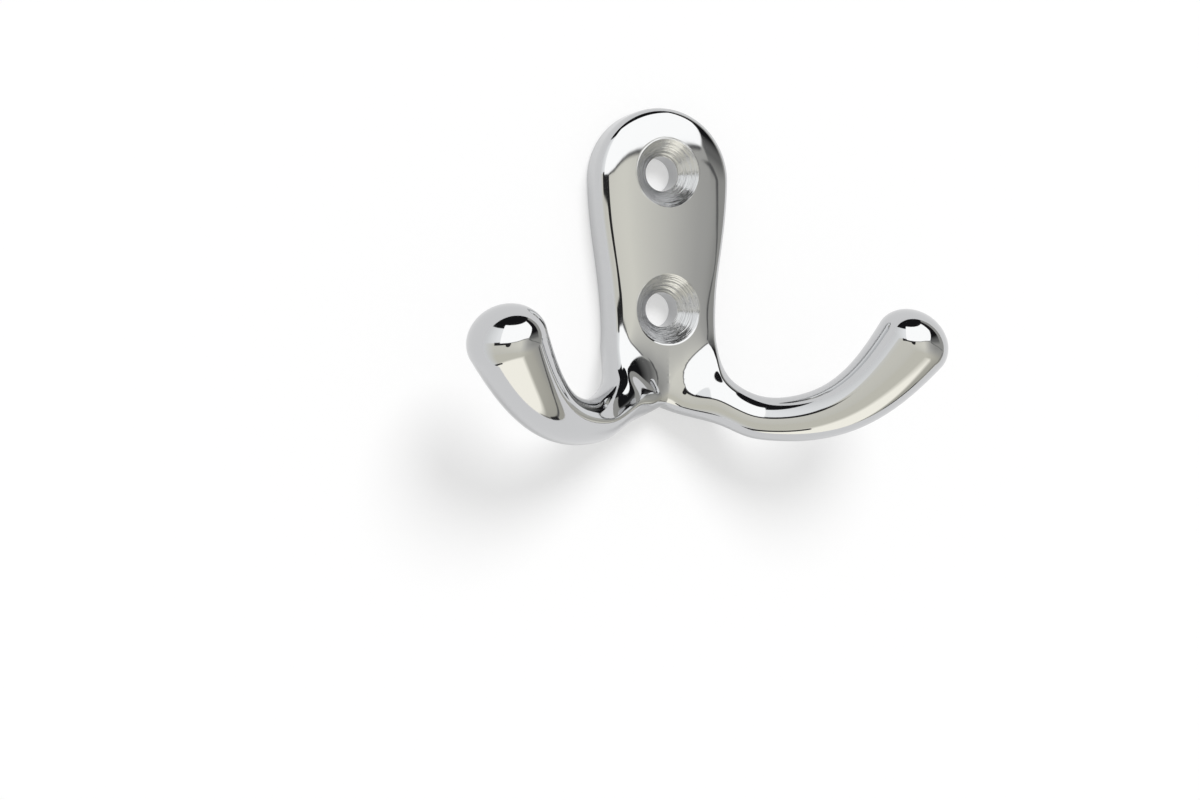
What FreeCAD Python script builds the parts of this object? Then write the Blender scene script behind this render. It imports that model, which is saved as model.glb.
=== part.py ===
import FreeCAD, Part
import math
import os

# Double robe hook, one cast piece, in millimetres and degrees.
# X is to the right, +Y points into the wall and +Z is up.
# The origin lies on the wall, midway between the two screw holes.

# Screw holes
HOLE_SPACING = 19.5
BORE_DIAMETER = 5.0
COUNTERSINK_DIAMETER = 10.2
COUNTERSINK_ANGLE = 90.0

# Back plate
PLATE_THICKNESS = 5.7
CROWN_RADIUS = 60.0
TOP_RADIUS = 10.3
TOP_CENTRE_DROP = 0.85
WAIST_HALF_WIDTH = 8.3
WAIST_Z = -12.6
WAIST_ROUNDNESS = 0.1
EDGE_ROUND = 2.0

# Root of each arm, where the plate turns into the arm round the armpit
ARMPIT_RADIUS = 9.8
ROOT_TURN = 62.0
ROOT_DEPTH_TURN = 80.0
ROOT_SWELL = 0.4
SWING_START = -20.0
SWING_TURN = 80.0

# Arms, round in section, in upright planes that lean out from the wall
ARM_ANGLE = 36.5
ARM_ROOT_RADIUS = 3.1
ARM_TIP_RADIUS = 5.35
ARM_SWELL_POWER = 1.2
ROOT_HANDLE = 9.0
TIP_HANDLE = 8.7
TIP_REACH = 40.0
TIP_Z = -11.1
TIP_RISE_ANGLE = 52.5
TIP_DOME = 4.5

# Spare stock of the body, cut away by the wall plane and by the level of the top centre
SPARE_BEHIND_WALL = 3.0
SPARE_LIFTS = (6.0, 3.0, 0.0)
TRIM_REACH = 200.0
CUT_CLEARANCE = 1.0

# Every section is a smooth closed curve on this many poles
POLE_COUNT = 16
# Share of the poles' own radius at which such a curve runs when they lie on a circle
RADIUS_SHARE = (2.0 + math.cos(2.0 * math.pi / POLE_COUNT)) / 3.0
# Distance of the poles beside a corner, in corner radii
CORNER_REACH = 6.0 * (math.sqrt(2.0) - 1.0) / math.sqrt(2.0)
# Handle length of a cubic quarter round, in radii
QUARTER_HANDLE = 0.5523
# Turn of the last root section, short of the first arm section
LAST_TURN = 75.0

TOP_CENTRE_Z = HOLE_SPACING / 2.0 - TOP_CENTRE_DROP
STOCK_HALF_DEPTH = (PLATE_THICKNESS + SPARE_BEHIND_WALL) / 2.0
STOCK_MIDDLE = (PLATE_THICKNESS - SPARE_BEHIND_WALL) / 2.0
LEAN = math.radians(ARM_ANGLE)
RISE = math.radians(TIP_RISE_ANGLE)


def at(x, depth, z):
    """A point or a direction, with its depth measured out from the wall."""
    return FreeCAD.Vector(x, -depth, z)


def mix(start, end, share):
    return start + (end - start) * share


def ease(share):
    """Runs from 0 to 1 with level ends."""
    share = min(max(share, 0.0), 1.0)
    return share * share * (3.0 - 2.0 * share)


def middle(points):
    return sum(points, FreeCAD.Vector()) * (1.0 / len(points))


def section(centre, across, forward, half_width, half_depth, roundness, bend=0.0):
    """Poles of one section: a round-cornered block with a crowned front at roundness 0, an ellipse at 1.

    The bend carries the outer side forward by this slope and leaves the section level at the centre plane."""
    reach = CORNER_REACH * EDGE_ROUND
    corner = [(half_width, half_depth - reach), (half_width, half_depth), (half_width - reach, half_depth)]
    block = [(half_width, 0.0)] + corner
    block += [(0.0, half_depth)] + [(-x, y) for x, y in reversed(corner)]
    block += [(-half_width, 0.0)] + [(-x, -y) for x, y in corner]
    block += [(0.0, -half_depth)] + [(x, -y) for x, y in reversed(corner)]
    to_centre_plane = centre.x / across.x if bend else 0.0
    poles = []
    for index, (block_x, block_y) in enumerate(block):
        if block_y > 0.0:
            fall = block_x * (block_x + 2.0 * to_centre_plane) / (2.0 * CROWN_RADIUS)
            block_y -= fall * block_y / half_depth
        angle = 2.0 * math.pi * index / POLE_COUNT
        x = mix(block_x, half_width * math.cos(angle) / RADIUS_SHARE, roundness)
        y = mix(block_y, half_depth * math.sin(angle) / RADIUS_SHARE, roundness)
        y += bend * (x + to_centre_plane) ** 2 / (2.0 * (half_width + to_centre_plane))
        poles.append(centre + across * x + forward * y)
    return poles


def plate_section(z, half_width, roundness):
    """Level section of the plate with its spare stock."""
    return section(at(0, STOCK_MIDDLE, z), at(1, 0, 0), at(0, 1, 0), half_width, STOCK_HALF_DEPTH, roundness)


def root_section(turn):
    """Section at a turn round the armpit, from the waist of the plate to the arm."""
    share = ease(turn / ROOT_TURN)
    swing = LEAN * ease((turn - SWING_START) / SWING_TURN)
    swung = swing * share
    half_width = mix(WAIST_HALF_WIDTH, ARM_ROOT_RADIUS, share)
    half_depth = mix(STOCK_HALF_DEPTH, ARM_ROOT_RADIUS, ease(turn / ROOT_DEPTH_TURN))
    angle = math.radians(turn)
    from_armpit = ARMPIT_RADIUS + half_width
    reach = WAIST_HALF_WIDTH + ARMPIT_RADIUS - from_armpit * math.cos(angle)
    x = mix(reach, reach * math.cos(LEAN), share)
    depth = mix(STOCK_MIDDLE, reach * math.sin(LEAN), share)
    depth += ROOT_SWELL * math.sin(math.pi * turn / LAST_TURN) ** 2
    centre = at(x, depth, WAIST_Z - from_armpit * math.sin(angle))
    level = math.cos(angle)
    across = at(level * math.cos(swung), level * math.sin(swung), math.sin(angle))
    forward = at(-math.sin(swung), math.cos(swung), 0)
    roundness = mix(WAIST_ROUNDNESS, 1.0, share)
    return section(centre, across, forward, half_width, half_depth, roundness, math.tan(swing - swung))


def arm_spine():
    """Centre line of the arm in its own plane, from the armpit to the start of the domed end."""
    start = FreeCAD.Vector(WAIST_HALF_WIDTH + ARMPIT_RADIUS, WAIST_Z - ARMPIT_RADIUS - ARM_ROOT_RADIUS, 0)
    heading = FreeCAD.Vector(math.cos(RISE), math.sin(RISE), 0)
    end = FreeCAD.Vector(TIP_REACH, TIP_Z, 0) - heading * TIP_DOME
    spine = Part.BezierCurve()
    spine.setPoles([start, start + FreeCAD.Vector(ROOT_HANDLE, 0, 0), end - heading * TIP_HANDLE, end])
    return spine


def arm_section(spine, share):
    """Round section square to the centre line of the arm."""
    place = spine.value(share)
    heading = spine.tangent(share)[0]
    radius = mix(ARM_ROOT_RADIUS, ARM_TIP_RADIUS, share ** ARM_SWELL_POWER)
    centre = at(place.x * math.cos(LEAN), place.x * math.sin(LEAN), place.y)
    across = at(-heading.y * math.cos(LEAN), -heading.y * math.sin(LEAN), heading.x)
    forward = at(-math.sin(LEAN), math.cos(LEAN), 0)
    return section(centre, across, forward, radius, radius, 1.0)


def closed_face(poles):
    """Flat face inside one section."""
    curve = Part.BSplineCurve()
    knots = list(range(POLE_COUNT + 1))
    curve.buildFromPolesMultsKnots(poles, [1] * len(knots), knots, True, 3)
    return Part.Face(Part.Wire(curve.toShape()))


def skin(rows, knots, mults):
    """Face on rows of section poles, closed round the section and cubic both ways."""
    columns = [list(column) for column in zip(*rows)]
    round_knots = [float(index) for index in range(POLE_COUNT + 1)]
    round_mults = [1] * len(round_knots)
    surface = Part.BSplineSurface()
    surface.buildFromPolesMultsKnots(columns, round_mults, mults, round_knots, knots, True, False, 3, 3)
    return surface.toShape()


def skin_through(rows):
    """Face that passes through every section, with a smooth run from one to the next."""
    centres = [middle(row) for row in rows]
    stations = [0.0]
    for before, after in zip(centres, centres[1:]):
        stations.append(stations[-1] + (after - before).Length)
    curves = []
    for column in zip(*rows):
        curve = Part.BSplineCurve()
        curve.interpolate(Points=list(column), Parameters=stations)
        curves.append(curve)
    rows_of_poles = list(zip(*[curve.getPoles() for curve in curves]))
    return skin(rows_of_poles, curves[0].getKnots(), curves[0].getMultiplicities())


def tip_dome(end):
    """Rounded end of the arm, closed over its last section."""
    centre = middle(end)
    heading = at(math.cos(RISE) * math.cos(LEAN), math.cos(RISE) * math.sin(LEAN), math.sin(RISE))
    apex = centre + heading * TIP_DOME
    shoulder = [pole + heading * (TIP_DOME * QUARTER_HANDLE) for pole in end]
    crown = [apex + (pole - centre) * QUARTER_HANDLE for pole in end]
    return skin([end, shoulder, crown, [apex] * POLE_COUNT], [0.0, 1.0], [4, 4])


def half_body():
    """Plate and right arm in one skin, of which the right half is kept."""
    rows = []
    for lift in SPARE_LIFTS:
        rows.append(plate_section(TOP_CENTRE_Z + lift, TOP_RADIUS, 0.0))
    for share in (0.25, 0.5, 0.75):
        z = mix(TOP_CENTRE_Z, WAIST_Z, share)
        half_width = mix(TOP_RADIUS, WAIST_HALF_WIDTH, ease(share))
        rows.append(plate_section(z, half_width, WAIST_ROUNDNESS * ease(share)))
    for share in (0.0, 0.2, 0.4, 0.6, 0.8, 1.0):
        rows.append(root_section(LAST_TURN * share))
    spine = arm_spine()
    for share in (0.0, 0.2, 0.4, 0.6, 0.8, 1.0):
        rows.append(arm_section(spine, share))
    shell = Part.Shell([closed_face(rows[0]), skin_through(rows), tip_dome(rows[-1])])
    shell.sewShape()
    return Part.Solid(shell)


def trim_block(top_z):
    """Everything right of the centre plane, in front of the wall and below a level."""
    corner = FreeCAD.Vector(0, -TRIM_REACH, top_z - TRIM_REACH)
    return Part.makeBox(TRIM_REACH, TRIM_REACH, TRIM_REACH, corner)


def round_top():
    """Half-round head of the plate, its side section turned about the top centre."""
    whole = closed_face(plate_section(TOP_CENTRE_Z, TOP_RADIUS, 0.0))
    side = whole.common(trim_block(TOP_CENTRE_Z + CUT_CLEARANCE))
    head = side.revolve(FreeCAD.Vector(0, 0, TOP_CENTRE_Z), FreeCAD.Vector(0, -1, 0), 180.0)
    return head.Solids[0]


def screw_hole(z):
    """Countersunk hole as a solid to cut away, straight to the wall."""
    bore_radius = BORE_DIAMETER / 2.0
    rim_radius = COUNTERSINK_DIAMETER / 2.0
    slope = math.tan(math.radians(COUNTERSINK_ANGLE / 2.0))
    sink_depth = (rim_radius - bore_radius) / slope
    bore_length = PLATE_THICKNESS + 2.0 * CUT_CLEARANCE
    bore = Part.makeCylinder(bore_radius, bore_length, at(0, -CUT_CLEARANCE, z), at(0, 1, 0))
    sink_base = at(0, PLATE_THICKNESS - sink_depth, z)
    wide_radius = rim_radius + CUT_CLEARANCE * slope
    sink = Part.makeCone(bore_radius, wide_radius, sink_depth + CUT_CLEARANCE, sink_base, at(0, 1, 0))
    return bore.fuse(sink)


def build_hook():
    right = half_body().common(trim_block(TOP_CENTRE_Z))
    left = right.mirror(FreeCAD.Vector(), FreeCAD.Vector(1, 0, 0))
    hook = round_top().fuse([right, left]).removeSplitter()
    for z in (HOLE_SPACING / 2.0, -HOLE_SPACING / 2.0):
        hook = hook.cut(screw_hole(z))
    return hook.Solids[0]


os.makedirs("parts", exist_ok=True)
build_hook().exportStep("parts/hook.step")
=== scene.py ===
import math

import bmesh
import bpy
import numpy as np
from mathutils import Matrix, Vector


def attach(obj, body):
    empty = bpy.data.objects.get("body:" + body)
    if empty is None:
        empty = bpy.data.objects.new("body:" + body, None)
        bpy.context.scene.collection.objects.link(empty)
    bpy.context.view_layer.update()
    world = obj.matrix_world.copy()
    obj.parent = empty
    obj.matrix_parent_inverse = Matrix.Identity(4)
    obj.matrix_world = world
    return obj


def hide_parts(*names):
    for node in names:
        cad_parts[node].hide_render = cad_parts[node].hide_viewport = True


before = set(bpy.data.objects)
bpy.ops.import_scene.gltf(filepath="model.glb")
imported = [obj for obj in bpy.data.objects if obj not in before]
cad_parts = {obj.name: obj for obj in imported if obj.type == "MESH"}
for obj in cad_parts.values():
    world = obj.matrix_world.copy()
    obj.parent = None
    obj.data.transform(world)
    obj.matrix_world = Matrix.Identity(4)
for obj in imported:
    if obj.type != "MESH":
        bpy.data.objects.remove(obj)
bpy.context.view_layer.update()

# The body is worked out in millimetres, with depth measured out from the wall, and written in metres.
MM = 0.001

# Back plate and screw holes
HOLE_SPACING = 19.5
BORE_RADIUS = 2.5
SINK_RADIUS = 5.1
SINK_SLOPE = math.radians(45.0)
PLATE_THICKNESS = 5.7
CROWN_RADIUS = 60.0
TOP_RADIUS = 10.3
TOP_CENTRE_DROP = 0.85
TOP_CENTRE_Z = HOLE_SPACING / 2.0 - TOP_CENTRE_DROP
WAIST_HALF_WIDTH = 8.3
WAIST_Z = -12.6
WAIST_ROUNDNESS = 0.1
EDGE_ROUND = 2.0

# Roots and arms
ARMPIT_RADIUS = 9.8
ROOT_TURN = 62.0
ROOT_DEPTH_TURN = 80.0
ROOT_SWELL = 0.4
LAST_TURN = 75.0
SWING_START = -20.0
SWING_TURN = 80.0
LEAN = math.radians(36.5)
RISE = math.radians(52.5)
ARM_ROOT_RADIUS = 3.1
ARM_TIP_RADIUS = 5.35
ARM_SWELL_POWER = 1.2
ROOT_HANDLE = 9.0
TIP_HANDLE = 8.7
TIP_REACH = 40.0
TIP_Z = -11.1
TIP_DOME = 4.5

# Spare stock that is trimmed away behind the wall and above the top centre
SPARE_BEHIND_WALL = 3.0
SPARE_LIFTS = (6.0, 3.0, 0.0)
STOCK_HALF_DEPTH = (PLATE_THICKNESS + SPARE_BEHIND_WALL) / 2.0
STOCK_MIDDLE = (PLATE_THICKNESS - SPARE_BEHIND_WALL) / 2.0

# Closed section curves on sixteen poles, and where they stand along the plate and along the root and arm
POLE_COUNT = 16
RADIUS_SHARE = (2.0 + math.cos(2.0 * math.pi / POLE_COUNT)) / 3.0
CORNER_REACH = 6.0 * (math.sqrt(2.0) - 1.0) / math.sqrt(2.0)
QUARTER_HANDLE = 0.5523
PLATE_SHARES = (0.25, 0.5, 0.75)
RUN_SHARES = (0.0, 0.2, 0.4, 0.6, 0.8, 1.0)

# Fineness of the visual mesh
ROUND_STEPS = 128
LENGTH_STEPS = 230
TIP_STEPS = 22
HEAD_STEPS = 128
HOLE_STEPS = 160
SINK_STEPS = 12
RIM_STEPS = 5
SHARP_ANGLE = math.radians(17.0)

# Tolerances in metres
ON_PLANE = 1e-9
ON_LEVEL = 1e-8
SAME_PLACE = 1e-7

# Softened crease between the two roots
CREASE_TOP_Z = -13.5
CREASE_HALF_WIDTH = 2.2
CREASE_FACING = 0.3
CREASE_PASSES = 40
CREASE_PULL = 0.5

# Cutters of the holes, with a rounded rim
RIM_ROUND = 0.22
RIM_END = math.radians(21.0)
CUT_BEHIND = 1.0
CUT_BESIDE = 2.0
CUT_IN_FRONT = 3.0

# Chrome, with turned marks in the countersinks
CHROME = (0.60, 0.605, 0.615, 1.0)
HAZE_LOW = 0.03
HAZE_HIGH = 0.075
HAZE_FINENESS = 220.0
SINK_SATIN = 0.13
CAST_FINENESS = 140.0
CAST_RELIEF = 0.0005
CAST_STRENGTH = 0.05
MARK_FINENESS = 4000.0
MARK_RUN = 200.0
MARK_RELIEF = 0.0001

# View of the photograph
VIEW_TURN = math.radians(23.639)
VIEW_DISTANCE = 0.253435
CAMERA_Z = -0.01794
AIM = Vector((-0.008301, 0.0, -0.022768))
SENSOR_WIDTH = 36.0
LENS = 52.12
NEAR_CLIP = 0.01
FAR_CLIP = 20.0

# Wall and light
WALL_GAP = 0.0003
WALL_SIZE = 6.0
WALL_TONE = (0.55, 0.55, 0.55, 1.0)
WALL_GLOW = 0.46
WALL_MIRRORED = 0.82
KEY_STRENGTH = 1.75
KEY_SPREAD = math.radians(26.0)
KEY_TURN = math.radians(7.0)
KEY_RISE = math.radians(37.0)
WORLD_LIGHT = 0.55

# Studio that the chrome mirrors, by direction in degrees: turn to the right of the wall's normal, and rise
STUDIO_RADIUS = 1.2
STUDIO_STEPS = 360
SOFT_EDGE = 0.8
PAST_EDGE = 91.0

# Tones of the studio
PLAIN = np.array((1.0, 1.0, 0.97))
WARM = np.array((1.0, 0.975, 0.85))
LEFT_ROOM = np.array((0.93, 0.94, 0.94))
RIGHT_ROOM = (0.18, 0.18, 0.175)
TABLE = (1.41, 1.37, 1.22)
SOFTBOX = (1.58, 1.58, 1.56)
FLAG = (0.012, 0.012, 0.013)
BLACK = 0.03
TABLE_EDGE = 0.04
BOX_EDGE = 0.08
GAP = 0.12

# Falls of tone across the studio, as angles and values
FRONT_FALL = ((-50, 12, 33, 50), (0.86, 0.98, 0.53, 0.41))
LOW_FALL = ((20, 90), (0.80, 0.50))
LOW_FADE = ((-30, -5), (1.0, 0.0))
WARMTH_FALL = ((12, 34), (0.75, 0.25))
LEFT_FADE = ((-88, -60), (1.0, 0.0))
LEFT_GLOW = ((-85, -50), (1.0, 1.3))
RIGHT_FADE = ((6, 14), (0.0, 1.0))
TABLE_FADE = ((-5, 5), (1.0, 0.0))
FLAG_FADE = ((17, 26), (0.0, 1.0))

# Lines across the studio, as angles one way and the other
TABLE_LINE = ((-90, 42, 90), (-69.0, -44.0, -72.0))
SEAM_LINE = ((-55, -25, -10), (87.5, 82.0, 84.5))
SEAM_HALF_WIDTH = 1.2
GAP_LINE = ((-6, 5, 11), (82.0, 47.0, 36.0))
GAP_HALF_WIDTH = 2.0
BOX_BOTTOM = ((-20, 0, 20, 45), (8.0, 10.0, 14.3, 15.5))
BOX_RIGHT = ((12, 39.8), (33.0, 58.0))
BOX_LEFT = -45.0
BOX_TOP = 60.0
BOX_EDGE_DROP = 1.4
BOX_EDGE_COVER = 1.0

# Patches of the studio, as turns and rises
LEFT_AREA = ((-PAST_EDGE, BOX_LEFT), (9.0, PAST_EDGE))
LEFT_FLAG = ((-PAST_EDGE, BOX_LEFT), (50.0, PAST_EDGE))
RIGHT_TURNS = (37.0, 74.0)
RIGHT_FLAG_END = 76.0
TABLE_EDGE_AREA = ((-PAST_EDGE, -45.0), (-68.0, -60.5))
SEAM_RISES = (-72.0, -10.0)
SEAM_CORNER = ((84.5, PAST_EDGE), (-58.0, -45.0))
GAP_RISES = (-6.0, 11.0)
CAMERA_STAND = ((-60.0, -16.0), (2.0, 10.5))
CAMERA_TURN = -23.6
CAMERA_RISE = 1.0
CAMERA_REACH = 6.5


def at(x, depth, z):
    """A place or direction, by depth out from the wall."""
    return np.array([x, depth, z], float)


def mix(start, end, share):
    """The value at a share of the way from start to end."""
    return start + (end - start) * share


def ease(share):
    """Runs from 0 to 1 with level ends."""
    share = min(max(share, 0.0), 1.0)
    return share * share * (3.0 - 2.0 * share)


def cubic(start, leaving, arriving, end, share):
    """Place on a cubic curve with a handle at each end."""
    left = 1.0 - share
    first = left ** 3 * start + 3.0 * share * left ** 2 * leaving
    return first + 3.0 * share ** 2 * left * arriving + share ** 3 * end


def section(centre, across, forward, half_width, half_depth, roundness, bend=0.0):
    """Poles of one section: a round-cornered block with a crowned front at roundness 0, an ellipse at 1.

    The bend carries the outer side forward by this slope and leaves the section level at the centre plane."""
    reach = CORNER_REACH * EDGE_ROUND
    corner = [(half_width, half_depth - reach), (half_width, half_depth), (half_width - reach, half_depth)]
    block = [(half_width, 0.0)] + corner
    block += [(0.0, half_depth)] + [(-x, y) for x, y in reversed(corner)]
    block += [(-half_width, 0.0)] + [(-x, -y) for x, y in corner]
    block += [(0.0, -half_depth)] + [(x, -y) for x, y in reversed(corner)]
    to_centre_plane = centre[0] / across[0] if bend else 0.0
    poles = []
    for index, (block_x, block_y) in enumerate(block):
        if block_y > 0.0:
            fall = block_x * (block_x + 2.0 * to_centre_plane) / (2.0 * CROWN_RADIUS)
            block_y -= fall * block_y / half_depth
        angle = 2.0 * math.pi * index / POLE_COUNT
        x = mix(block_x, half_width * math.cos(angle) / RADIUS_SHARE, roundness)
        y = mix(block_y, half_depth * math.sin(angle) / RADIUS_SHARE, roundness)
        y += bend * (x + to_centre_plane) ** 2 / (2.0 * (half_width + to_centre_plane))
        poles.append(centre + across * x + forward * y)
    return np.array(poles)


def plate_section(z, half_width, roundness):
    """Level section of the plate with its spare stock."""
    return section(at(0, STOCK_MIDDLE, z), at(1, 0, 0), at(0, 1, 0), half_width, STOCK_HALF_DEPTH, roundness)


def root_section(turn):
    """Section at a turn round the armpit, from the waist of the plate to the arm."""
    share = ease(turn / ROOT_TURN)
    swing = LEAN * ease((turn - SWING_START) / SWING_TURN)
    swung = swing * share
    half_width = mix(WAIST_HALF_WIDTH, ARM_ROOT_RADIUS, share)
    half_depth = mix(STOCK_HALF_DEPTH, ARM_ROOT_RADIUS, ease(turn / ROOT_DEPTH_TURN))
    angle = math.radians(turn)
    from_armpit = ARMPIT_RADIUS + half_width
    reach = WAIST_HALF_WIDTH + ARMPIT_RADIUS - from_armpit * math.cos(angle)
    x = mix(reach, reach * math.cos(LEAN), share)
    depth = mix(STOCK_MIDDLE, reach * math.sin(LEAN), share)
    depth += ROOT_SWELL * math.sin(math.pi * turn / LAST_TURN) ** 2
    centre = at(x, depth, WAIST_Z - from_armpit * math.sin(angle))
    level = math.cos(angle)
    across = at(level * math.cos(swung), level * math.sin(swung), math.sin(angle))
    forward = at(-math.sin(swung), math.cos(swung), 0)
    roundness = mix(WAIST_ROUNDNESS, 1.0, share)
    return section(centre, across, forward, half_width, half_depth, roundness, math.tan(swing - swung))


def arm_section(share):
    """Round section square to the centre line of the arm, which is a cubic curve in the arm's own plane."""
    rising = np.array([math.cos(RISE), math.sin(RISE)])
    start = np.array([WAIST_HALF_WIDTH + ARMPIT_RADIUS, WAIST_Z - ARMPIT_RADIUS - ARM_ROOT_RADIUS])
    end = np.array([TIP_REACH, TIP_Z]) - rising * TIP_DOME
    leaving = start + np.array([ROOT_HANDLE, 0.0])
    arriving = end - rising * TIP_HANDLE
    out, up = cubic(start, leaving, arriving, end, share)
    left = 1.0 - share
    heading = left ** 2 * (leaving - start) + 2.0 * share * left * (arriving - leaving)
    heading += share ** 2 * (end - arriving)
    heading /= np.linalg.norm(heading)
    radius = mix(ARM_ROOT_RADIUS, ARM_TIP_RADIUS, share ** ARM_SWELL_POWER)
    centre = at(out * math.cos(LEAN), out * math.sin(LEAN), up)
    across = at(-heading[1] * math.cos(LEAN), -heading[1] * math.sin(LEAN), heading[0])
    forward = at(-math.sin(LEAN), math.cos(LEAN), 0)
    return section(centre, across, forward, radius, radius, 1.0)


def body_sections():
    """Sections of the right half from above the top centre to the start of the domed end."""
    rows = [plate_section(TOP_CENTRE_Z + lift, TOP_RADIUS, 0.0) for lift in SPARE_LIFTS]
    for share in PLATE_SHARES:
        z = mix(TOP_CENTRE_Z, WAIST_Z, share)
        half_width = mix(TOP_RADIUS, WAIST_HALF_WIDTH, ease(share))
        rows.append(plate_section(z, half_width, WAIST_ROUNDNESS * ease(share)))
    rows += [root_section(LAST_TURN * share) for share in RUN_SHARES]
    rows += [arm_section(share) for share in RUN_SHARES]
    return np.array(rows)


def end_slope(stations, values):
    """Slope at the first station of the cubic through the first four."""
    steps = stations[:4] - stations[0]
    powers = np.vander(steps, 4, increasing=True)
    return np.linalg.solve(powers, values[:4])[1]


def smooth_run(stations, values, places):
    """Cubic run through the values at the stations, with even curvature, read at the places."""
    count = len(stations)
    steps = np.diff(stations)
    rises = np.diff(values, axis=0) / steps[:, None]
    system = np.eye(count)
    sums = np.zeros_like(values)
    sums[0] = end_slope(stations, values)
    sums[-1] = -end_slope(-stations[::-1], values[::-1])
    for i in range(1, count - 1):
        before, after = 1.0 / steps[i - 1], 1.0 / steps[i]
        system[i, i - 1:i + 2] = before, 2.0 * (before + after), after
        sums[i] = 3.0 * (rises[i - 1] * before + rises[i] * after)
    slopes = np.linalg.solve(system, sums)
    index = np.clip(np.searchsorted(stations, places, side="right") - 1, 0, count - 2)
    step = steps[index][:, None]
    t = (places - stations[index])[:, None] / step
    start, end = values[index], values[index + 1]
    into, out = slopes[index] * step, slopes[index + 1] * step
    return ((1.0 + 2.0 * t) * (1.0 - t) ** 2 * start + t * (1.0 - t) ** 2 * into
            + t ** 2 * (3.0 - 2.0 * t) * end + t ** 2 * (t - 1.0) * out)


def round_weights():
    """Weight of every pole at even steps round a closed cubic section curve."""
    weights = np.zeros((ROUND_STEPS, POLE_COUNT))
    for step in range(ROUND_STEPS):
        pole, t = divmod(step * POLE_COUNT / ROUND_STEPS, 1.0)
        shares = ((1.0 - t) ** 3,
                  3.0 * t ** 3 - 6.0 * t ** 2 + 4.0,
                  1.0 + 3.0 * t + 3.0 * t ** 2 - 3.0 * t ** 3,
                  t ** 3)
        for offset, share in enumerate(shares):
            weights[step, (int(pole) + offset - 1) % POLE_COUNT] += share / 6.0
    return weights


def half_rings():
    """Rings of points of the right half, from the top centre to the tip."""
    rows = body_sections()
    centres = rows.mean(axis=1)
    stations = np.concatenate([[0.0], np.cumsum(np.linalg.norm(np.diff(centres, axis=0), axis=1))])
    top_row = SPARE_LIFTS.index(0.0)
    places = np.linspace(stations[top_row], stations[-1], LENGTH_STEPS)
    flat = smooth_run(stations, rows.reshape(len(rows), -1), places)
    poles = list(flat.reshape(len(places), POLE_COUNT, 3))
    end, centre = rows[-1], centres[-1]
    heading = at(math.cos(RISE) * math.cos(LEAN), math.cos(RISE) * math.sin(LEAN), math.sin(RISE))
    apex = centre + heading * TIP_DOME
    shoulder = end + heading * TIP_DOME * QUARTER_HANDLE
    crown = apex + (end - centre) * QUARTER_HANDLE
    poles += [cubic(end, shoulder, crown, apex, step / TIP_STEPS) for step in range(1, TIP_STEPS)]
    rings = np.einsum("sp,rpk->rsk", round_weights(), np.array(poles))
    return rings, apex


def as_vector(point):
    """A point given by depth, as a place in the frame in metres."""
    return Vector((point[0], -point[1], point[2])) * MM


def join_rows(mesh, rows, closed):
    """Faces between rows of points, each row closed or open."""
    count = len(rows[0])
    for row, following in zip(rows, rows[1:]):
        for i in range(count if closed else count - 1):
            j = (i + 1) % count
            mesh.faces.new((row[i], row[j], following[j], following[i]))


def trim(mesh, normal):
    """Cuts away what lies on the normal's side of a plane through the origin."""
    everything = mesh.verts[:] + mesh.edges[:] + mesh.faces[:]
    bmesh.ops.bisect_plane(mesh, geom=everything, dist=ON_PLANE, plane_co=Vector(), plane_no=normal,
                           clear_outer=True)


def add_half(mesh):
    """Right half of the plate and the right arm, open at the centre plane, the wall and the top."""
    rings, apex = half_rings()
    rows = [[mesh.verts.new(as_vector(point)) for point in ring] for ring in rings]
    join_rows(mesh, rows, True)
    tip = mesh.verts.new(as_vector(apex))
    for i in range(ROUND_STEPS):
        mesh.faces.new((rows[-1][i], rows[-1][(i + 1) % ROUND_STEPS], tip))
    trim(mesh, Vector((-1.0, 0.0, 0.0)))
    trim(mesh, Vector((0.0, 1.0, 0.0)))


def add_mirrored_half(mesh):
    """Left half, as the mirror image of the right one."""
    copied = bmesh.ops.duplicate(mesh, geom=mesh.verts[:] + mesh.edges[:] + mesh.faces[:])["geom"]
    for vert in [g for g in copied if isinstance(g, bmesh.types.BMVert)]:
        vert.co.x = -vert.co.x
    bmesh.ops.reverse_faces(mesh, faces=[g for g in copied if isinstance(g, bmesh.types.BMFace)])
    bmesh.ops.remove_doubles(mesh, verts=mesh.verts[:], dist=SAME_PLACE)


def add_head(mesh):
    """Half-round head: the top edge of the right half, turned about the top centre."""
    level = TOP_CENTRE_Z * MM
    rim = [e for e in mesh.edges if e.is_boundary
           and all(abs(v.co.z - level) < ON_LEVEL and v.co.x > -ON_LEVEL for v in e.verts)]
    bmesh.ops.spin(mesh, geom=rim, cent=Vector((0.0, 0.0, level)), axis=Vector((0.0, 1.0, 0.0)),
                   angle=-math.pi, steps=HEAD_STEPS, use_duplicate=False)


def close_back(mesh):
    """Flat back on the wall."""
    bmesh.ops.remove_doubles(mesh, verts=mesh.verts[:], dist=SAME_PLACE)
    outline = [e for e in mesh.edges if e.is_boundary]
    bmesh.ops.contextual_create(mesh, geom=outline)


def soften_crease(mesh):
    """Rounds the crease where the two roots meet below the lower hole."""
    mesh.normal_update()
    near = [v for v in mesh.verts if abs(v.co.x) < CREASE_HALF_WIDTH * MM and v.co.z < CREASE_TOP_Z * MM
            and abs(v.normal.y) > CREASE_FACING and v.co.y < -PLATE_THICKNESS / 2.0 * MM]
    for _ in range(CREASE_PASSES):
        bmesh.ops.smooth_vert(mesh, verts=near, factor=CREASE_PULL,
                              use_axis_x=False, use_axis_y=True, use_axis_z=True)


def new_object(name, mesh):
    """Object made from an edited mesh."""
    data = bpy.data.meshes.new(name)
    mesh.to_mesh(data)
    mesh.free()
    obj = bpy.data.objects.new(name, data)
    bpy.context.scene.collection.objects.link(obj)
    return obj


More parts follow.
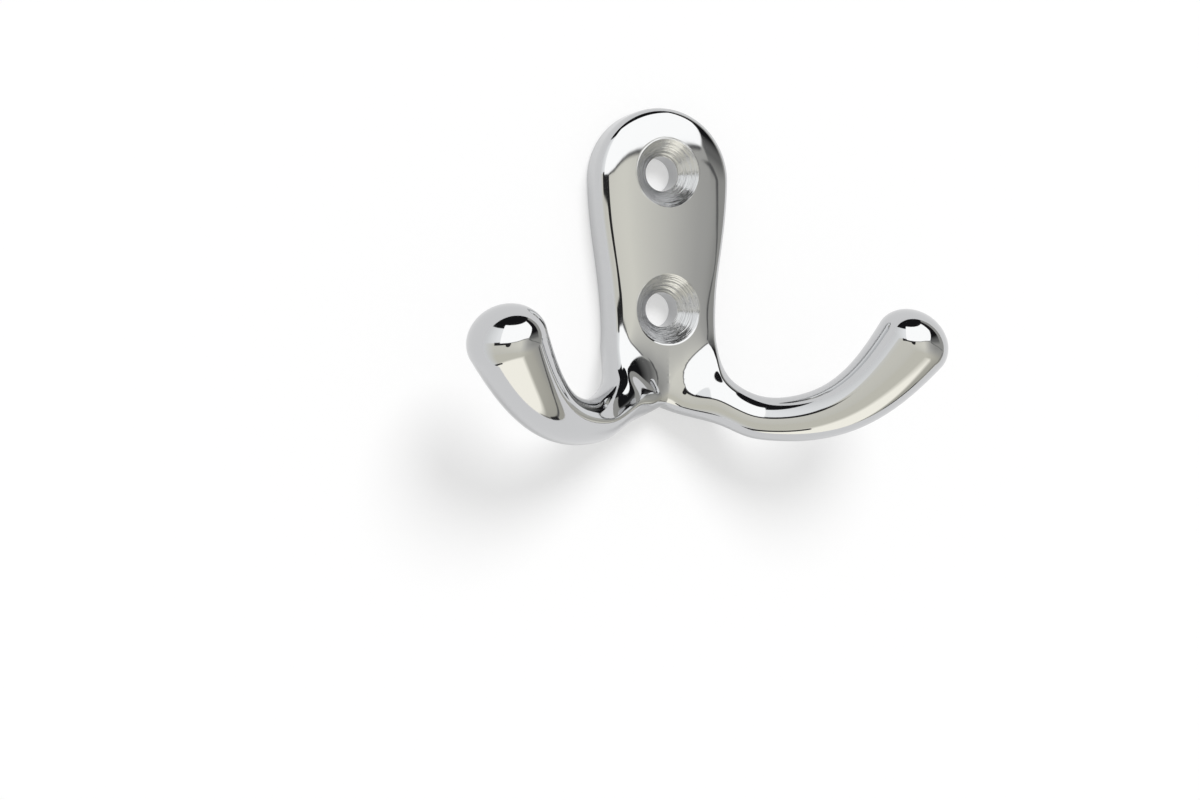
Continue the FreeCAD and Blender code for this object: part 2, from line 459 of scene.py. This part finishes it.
def hook_blank():
    """The whole hook before its holes are cut."""
    mesh = bmesh.new()
    add_half(mesh)
    add_mirrored_half(mesh)
    add_head(mesh)
    close_back(mesh)
    soften_crease(mesh)
    bmesh.ops.recalc_face_normals(mesh, faces=mesh.faces[:])
    return new_object("hook_body", mesh)


def hole_profile():
    """Radius and depth along a countersunk hole, from behind the wall to in front of the plate."""
    sink_start = PLATE_THICKNESS - (SINK_RADIUS - BORE_RADIUS) * math.tan(SINK_SLOPE)
    sink_width = SINK_RADIUS - RIM_ROUND - BORE_RADIUS
    points = [(BORE_RADIUS, -CUT_BEHIND)]
    for step in range(SINK_STEPS + 1):
        along = sink_width * step / SINK_STEPS
        points.append((BORE_RADIUS + along, sink_start + along * math.tan(SINK_SLOPE)))
    radius, depth = points[-1]
    for step in range(RIM_STEPS):
        slope = mix(SINK_SLOPE, RIM_END, (step + 0.5) / RIM_STEPS)
        radius += RIM_ROUND / RIM_STEPS
        depth += RIM_ROUND / RIM_STEPS * math.tan(slope)
        points.append((radius, depth))
    points.append((radius + CUT_BESIDE, depth + CUT_BESIDE * math.tan(RIM_END)))
    points.append((radius + CUT_BESIDE, PLATE_THICKNESS + CUT_IN_FRONT))
    return points


def hole_cutter(z):
    """Solid of revolution that cuts one countersunk hole."""
    mesh = bmesh.new()
    rings = []
    for radius, depth in hole_profile():
        angles = [2.0 * math.pi * step / HOLE_STEPS for step in range(HOLE_STEPS)]
        places = [(radius * math.cos(angle), depth, z + radius * math.sin(angle)) for angle in angles]
        rings.append([mesh.verts.new(as_vector(place)) for place in places])
    join_rows(mesh, rings, True)
    mesh.faces.new(rings[0])
    mesh.faces.new(rings[-1])
    bmesh.ops.recalc_face_normals(mesh, faces=mesh.faces[:])
    return new_object("hole_cutter", mesh)


def cut_holes(body):
    """Cuts both screw holes and leaves the result in the body's own mesh."""
    cutters = [hole_cutter(z) for z in (HOLE_SPACING / 2.0, -HOLE_SPACING / 2.0)]
    for cutter in cutters:
        modifier = body.modifiers.new("hole", "BOOLEAN")
        modifier.operation = "DIFFERENCE"
        modifier.solver = "EXACT"
        modifier.object = cutter
    evaluated = body.evaluated_get(bpy.context.evaluated_depsgraph_get())
    body.data = bpy.data.meshes.new_from_object(evaluated)
    body.modifiers.clear()
    for cutter in cutters:
        bpy.data.objects.remove(cutter)


def make_hook():
    """The hook as one chromed piece."""
    body = hook_blank()
    cut_holes(body)
    body.data.polygons.foreach_set("use_smooth", [True] * len(body.data.polygons))
    body.data.set_sharp_from_angle(angle=SHARP_ANGLE)
    body.data.materials.clear()
    body.data.materials.append(chrome())
    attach(body, "root")
    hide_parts("hook")


def new_material(name):
    """Empty node material with its output."""
    material = bpy.data.materials.new(name)
    material.use_nodes = True
    nodes = material.node_tree.nodes
    nodes.clear()
    return material, nodes, material.node_tree.links, nodes.new("ShaderNodeOutputMaterial")


def math_node(nodes, links, operation, first, second):
    """Result of one step of arithmetic on a socket and a socket or a number."""
    node = nodes.new("ShaderNodeMath")
    node.operation = operation
    links.new(first, node.inputs[0])
    if isinstance(second, float):
        node.inputs[1].default_value = second
    else:
        links.new(second, node.inputs[1])
    return node.outputs["Value"]


def noise(nodes, links, vector, scale, detail):
    """Strength of a noise pattern at a place."""
    node = nodes.new("ShaderNodeTexNoise")
    node.inputs["Scale"].default_value = scale
    node.inputs["Detail"].default_value = detail
    links.new(vector, node.inputs["Vector"])
    return node.outputs["Fac"]


def hole_place(nodes, links, place):
    """Distance from the axis of the nearer hole, and a place that stretches rings round it into bands."""
    split = nodes.new("ShaderNodeSeparateXYZ")
    links.new(place, split.inputs["Vector"])
    height = math_node(nodes, links, "ABSOLUTE", split.outputs["Z"], 0.0)
    above = math_node(nodes, links, "SUBTRACT", height, HOLE_SPACING / 2.0 * MM)
    across = math_node(nodes, links, "MULTIPLY", split.outputs["X"], split.outputs["X"])
    up = math_node(nodes, links, "MULTIPLY", above, above)
    distance = math_node(nodes, links, "POWER", math_node(nodes, links, "ADD", across, up), 0.5)
    bands = nodes.new("ShaderNodeCombineXYZ")
    links.new(math_node(nodes, links, "MULTIPLY", distance, MARK_FINENESS), bands.inputs["X"])
    links.new(math_node(nodes, links, "MULTIPLY", split.outputs["X"], MARK_RUN), bands.inputs["Y"])
    links.new(math_node(nodes, links, "MULTIPLY", split.outputs["Z"], MARK_RUN), bands.inputs["Z"])
    return distance, bands.outputs["Vector"]


def bump(nodes, links, height, distance):
    """Fine relief on a surface."""
    node = nodes.new("ShaderNodeBump")
    node.inputs["Distance"].default_value = distance
    links.new(height, node.inputs["Height"])
    return node


def chrome():
    """Polished chrome plate over a casting: nearly mirror smooth, with turned marks in the countersinks."""
    material, nodes, links, output = new_material("chrome")
    shader = nodes.new("ShaderNodeBsdfPrincipled")
    shader.inputs["Base Color"].default_value = CHROME
    shader.inputs["Metallic"].default_value = 1.0
    place = nodes.new("ShaderNodeTexCoord").outputs["Object"]
    distance, bands = hole_place(nodes, links, place)
    turned = nodes.new("ShaderNodeMapRange")
    turned.inputs["From Min"].default_value = SINK_RADIUS * MM
    turned.inputs["From Max"].default_value = (SINK_RADIUS - RIM_ROUND) * MM
    links.new(distance, turned.inputs["Value"])
    haze = nodes.new("ShaderNodeMapRange")
    haze.inputs["To Min"].default_value = HAZE_LOW
    haze.inputs["To Max"].default_value = HAZE_HIGH
    links.new(noise(nodes, links, place, HAZE_FINENESS, 4.0), haze.inputs["Value"])
    satin = math_node(nodes, links, "MULTIPLY", turned.outputs["Result"], SINK_SATIN)
    links.new(math_node(nodes, links, "ADD", haze.outputs["Result"], satin), shader.inputs["Roughness"])
    cast = bump(nodes, links, noise(nodes, links, place, CAST_FINENESS, 1.0), CAST_RELIEF)
    cast.inputs["Strength"].default_value = CAST_STRENGTH
    marks = bump(nodes, links, noise(nodes, links, bands, 1.0, 3.0), MARK_RELIEF)
    links.new(turned.outputs["Result"], marks.inputs["Strength"])
    links.new(cast.outputs["Normal"], marks.inputs["Normal"])
    links.new(marks.outputs["Normal"], shader.inputs["Normal"])
    links.new(shader.outputs["BSDF"], output.inputs["Surface"])
    return material


def seen_directly(nodes, links, mirrored):
    """1 for rays that show a surface, a share for rays that mirror it, 0 for rays that only light others."""
    path = nodes.new("ShaderNodeLightPath")
    glossy = math_node(nodes, links, "MULTIPLY", path.outputs["Is Glossy Ray"], mirrored)
    through = path.outputs["Is Transmission Ray"]
    straight = math_node(nodes, links, "MAXIMUM", path.outputs["Is Camera Ray"], through)
    return math_node(nodes, links, "MAXIMUM", straight, glossy)


def wall_white():
    """White wall that keeps the hook's shadow and can be seen through from behind."""
    material, nodes, links, output = new_material("wall_white")
    diffuse = nodes.new("ShaderNodeBsdfDiffuse")
    diffuse.inputs["Color"].default_value = WALL_TONE
    glow = nodes.new("ShaderNodeEmission")
    shown = seen_directly(nodes, links, WALL_MIRRORED)
    links.new(math_node(nodes, links, "MULTIPLY", shown, WALL_GLOW), glow.inputs["Strength"])
    both = nodes.new("ShaderNodeAddShader")
    links.new(diffuse.outputs["BSDF"], both.inputs[0])
    links.new(glow.outputs["Emission"], both.inputs[1])
    side = nodes.new("ShaderNodeNewGeometry")
    clear = nodes.new("ShaderNodeBsdfTransparent")
    choice = nodes.new("ShaderNodeMixShader")
    links.new(side.outputs["Backfacing"], choice.inputs["Fac"])
    links.new(both.outputs["Shader"], choice.inputs[1])
    links.new(clear.outputs["BSDF"], choice.inputs[2])
    links.new(choice.outputs["Shader"], output.inputs["Surface"])
    return material


def make_wall():
    """Wall behind the hook, facing the room."""
    mesh = bmesh.new()
    half = WALL_SIZE / 2.0
    corners = ((-half, -half), (half, -half), (half, half), (-half, half))
    mesh.faces.new([mesh.verts.new((x, WALL_GAP, z)) for x, z in corners])
    wall = new_object("wall", mesh)
    wall.data.materials.append(wall_white())


def dome_glow():
    """Light of the studio dome, as painted on its corners."""
    material, nodes, links, output = new_material("dome_glow")
    shade = nodes.new("ShaderNodeVertexColor")
    shade.layer_name = "shade"
    glow = nodes.new("ShaderNodeEmission")
    links.new(shade.outputs["Color"], glow.inputs["Color"])
    links.new(glow.outputs["Emission"], output.inputs["Surface"])
    return material


def between(value, low, high):
    """1 inside a band of angles, 0 outside it, with soft edges."""
    rise = np.clip((value - low) / SOFT_EDGE + 0.5, 0.0, 1.0)
    fall = np.clip((high - value) / SOFT_EDGE + 0.5, 0.0, 1.0)
    return rise * fall


def patch(turn, rise, turns, rises):
    """1 inside a patch of directions, 0 outside it."""
    return between(turn, *turns) * between(rise, *rises)


def lay(tones, cover, colour):
    """Paints a colour, a grey or a field of colours over the tones where the cover is 1."""
    cover = cover[..., None]
    return tones * (1.0 - cover) + cover * colour


def room_tones(turn, rise):
    """The room: pale in front, darker to the right, warm below, with a glow on the left."""
    sunk = np.interp(rise, *LOW_FADE)
    warmth = np.maximum(sunk, np.interp(turn, *WARMTH_FALL))[..., None]
    strength = mix(np.interp(turn, *FRONT_FALL), np.interp(turn, *LOW_FALL), sunk)
    tones = strength[..., None] * mix(PLAIN, WARM, warmth)
    tones = lay(tones, between(turn, *RIGHT_TURNS) * np.interp(rise, *RIGHT_FADE), RIGHT_ROOM)
    tones = lay(tones, np.interp(turn, *LEFT_FADE), LEFT_ROOM)
    glow = np.interp(turn, *LEFT_GLOW)[..., None] * LEFT_ROOM
    return lay(tones, patch(turn, rise, *LEFT_AREA), glow)


def lay_table(tones, turn, rise):
    """Pale table below, its dark edge on the left, and dark gaps on the right."""
    over_table = rise - np.interp(turn, *TABLE_LINE)
    tones = lay(tones, np.interp(over_table, *TABLE_FADE), TABLE)
    tones = lay(tones, patch(turn, rise, *TABLE_EDGE_AREA), TABLE_EDGE)
    off_gap = turn - np.interp(rise, *GAP_LINE)
    tones = lay(tones, patch(off_gap, rise, (-GAP_HALF_WIDTH, GAP_HALF_WIDTH), GAP_RISES), GAP)
    off_seam = turn - np.interp(rise, *SEAM_LINE)
    tones = lay(tones, patch(off_seam, rise, (-SEAM_HALF_WIDTH, SEAM_HALF_WIDTH), SEAM_RISES), GAP)
    return lay(tones, patch(turn, rise, *SEAM_CORNER), BLACK)


def lay_camera(tones, turn, rise):
    """Black camera with its stand."""
    tones = lay(tones, patch(turn, rise, *CAMERA_STAND), BLACK)
    distance = np.hypot(turn - CAMERA_TURN, rise - CAMERA_RISE)
    return lay(tones, np.clip(CAMERA_REACH - distance + 0.5, 0.0, 1.0), BLACK)


def lay_softbox(tones, turn, rise):
    """Softbox above the camera with a dark lower edge, and black flags round it."""
    bottom = np.interp(turn, *BOX_BOTTOM)
    right = np.interp(rise, *BOX_RIGHT)
    sides = between(turn, BOX_LEFT, right)
    tones = lay(tones, sides * between(rise, bottom - BOX_EDGE_DROP, bottom + BOX_EDGE_COVER), BOX_EDGE)
    tones = lay(tones, between(turn, right, RIGHT_FLAG_END) * np.interp(rise, *FLAG_FADE), FLAG)
    tones = lay(tones, patch(turn, rise, *LEFT_FLAG), FLAG)
    tones = lay(tones, between(rise, BOX_TOP, PAST_EDGE), FLAG)
    return lay(tones, sides * between(rise, bottom, BOX_TOP), SOFTBOX)


def studio_tones(turn, rise):
    """Tones of the studio by direction."""
    tones = room_tones(turn, rise)
    tones = lay_table(tones, turn, rise)
    tones = lay_camera(tones, turn, rise)
    return lay_softbox(tones, turn, rise)


def make_studio():
    """Half dome in front of the wall with the softbox, flags and room tones that the chrome mirrors."""
    mesh = bmesh.new()
    shade = mesh.verts.layers.float_color.new("shade")
    angles = np.linspace(-90.0, 90.0, STUDIO_STEPS + 1)
    tones = studio_tones(*np.meshgrid(angles, angles))
    rows = []
    for rise, row_tones in zip(np.radians(angles), tones):
        level = STUDIO_RADIUS * math.cos(rise)
        row = []
        for turn, tone in zip(np.radians(angles), row_tones):
            place = (level * math.sin(turn), -level * math.cos(turn), STUDIO_RADIUS * math.sin(rise))
            vert = mesh.verts.new(place)
            vert[shade] = (*tone, 1.0)
            row.append(vert)
        rows.append(row)
    join_rows(mesh, rows, False)
    dome = new_object("studio_dome", mesh)
    dome.data.materials.append(dome_glow())
    dome.visible_camera = False
    dome.visible_diffuse = False
    dome.visible_transmission = False
    dome.visible_shadow = False


def make_key():
    """Soft key from the upper front, for the shadow on the wall."""
    lamp = bpy.data.lights.new("key", "SUN")
    lamp.energy = KEY_STRENGTH
    lamp.angle = KEY_SPREAD
    key = bpy.data.objects.new("key", lamp)
    level = math.cos(KEY_RISE)
    toward = Vector((math.sin(KEY_TURN) * level, -math.cos(KEY_TURN) * level, math.sin(KEY_RISE)))
    key.rotation_mode = "QUATERNION"
    key.rotation_quaternion = (-toward).to_track_quat("-Z", "Y")
    key.visible_glossy = False
    bpy.context.scene.collection.objects.link(key)


def make_world():
    """Even pale world, white where it is seen."""
    world = bpy.data.worlds.new("studio")
    world.use_nodes = True
    nodes, links = world.node_tree.nodes, world.node_tree.links
    background = nodes["Background"]
    background.inputs["Color"].default_value = (1.0, 1.0, 1.0, 1.0)
    strength = nodes.new("ShaderNodeMapRange")
    strength.inputs["To Min"].default_value = WORLD_LIGHT
    strength.inputs["To Max"].default_value = 1.0
    links.new(seen_directly(nodes, links, 1.0), strength.inputs["Value"])
    links.new(strength.outputs["Result"], background.inputs["Strength"])
    bpy.context.scene.world = world


def make_camera():
    """Camera at the photograph's place."""
    data = bpy.data.cameras.new("camera")
    data.sensor_fit = "HORIZONTAL"
    data.sensor_width = SENSOR_WIDTH
    data.lens = LENS
    data.clip_start = NEAR_CLIP
    data.clip_end = FAR_CLIP
    camera = bpy.data.objects.new("camera", data)
    camera.location = (-math.sin(VIEW_TURN) * VIEW_DISTANCE, -math.cos(VIEW_TURN) * VIEW_DISTANCE, CAMERA_Z)
    camera.rotation_mode = "QUATERNION"
    camera.rotation_quaternion = (AIM - camera.location).to_track_quat("-Z", "Y")
    bpy.context.scene.collection.objects.link(camera)
    bpy.context.scene.camera = camera


make_hook()
make_wall()
make_studio()
make_key()
make_world()
make_camera()
bpy.context.scene.view_settings.view_transform = "Standard"

bpy.context.view_layer.update()
